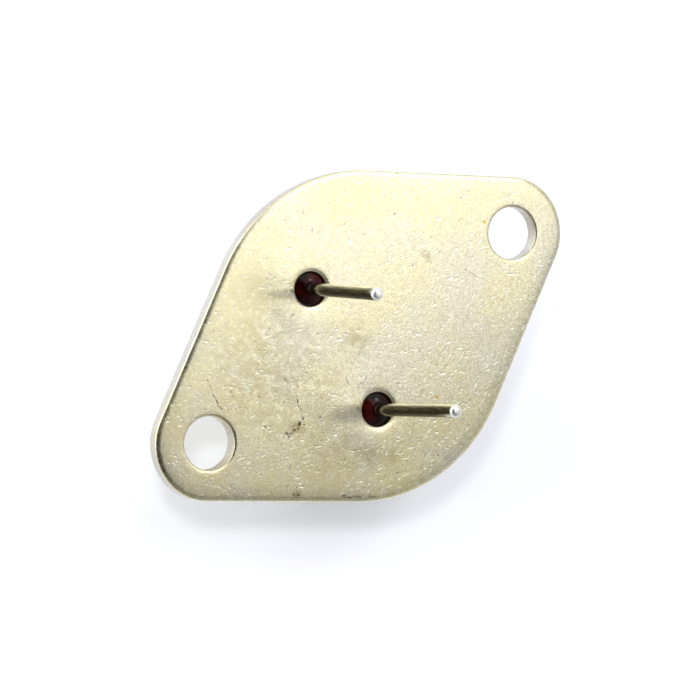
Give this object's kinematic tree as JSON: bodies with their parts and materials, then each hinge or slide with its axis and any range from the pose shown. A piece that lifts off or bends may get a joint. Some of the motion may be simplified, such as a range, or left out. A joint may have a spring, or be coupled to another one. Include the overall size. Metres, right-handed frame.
{
  "type": "voltage regulator",
  "caption": "Metal-can voltage regulator: diamond flange with mounting holes, leads in glass seals on the seating face, and a round can behind.",
  "frame": {"origin": "middle of the line between the two mounting holes, on the flange's seating face", "axes": "+X along the two mounting holes, away from the leads; +Y along the row of leads; +Z out of the seating face, the way the leads point"},
  "size_m": [0.039, 0.0254, 0.0201],
  "materials": {
    "nickel_plate": "satin tumbled nickel plate on steel, warm",
    "nickel_can": "satin nickel plate on drawn steel",
    "seal_glass": "glossy dark red-brown sealing glass",
    "lead_metal": "bright nickel-plated wire",
    "braze": "silver braze",
    "copper": "bare copper",
    "solder": "dull soft solder",
    "silicon": "polished silicon",
    "bond_wire": "bright aluminium wire"
  },
  "bodies": {
    "root": {"header_flange": "nickel_plate", "cap": "nickel_can", "input_seal": "seal_glass", "output_seal": "seal_glass", "input_lead": "lead_metal", "output_lead": "lead_metal", "spreader_braze": "braze", "heat_spreader": "copper", "die_solder": "solder", "regulator_die": "silicon", "input_wire": "bond_wire", "output_wire": "bond_wire", "sense_wire": "bond_wire", "ground_wire": "bond_wire"}
  },
  "joints": []
}
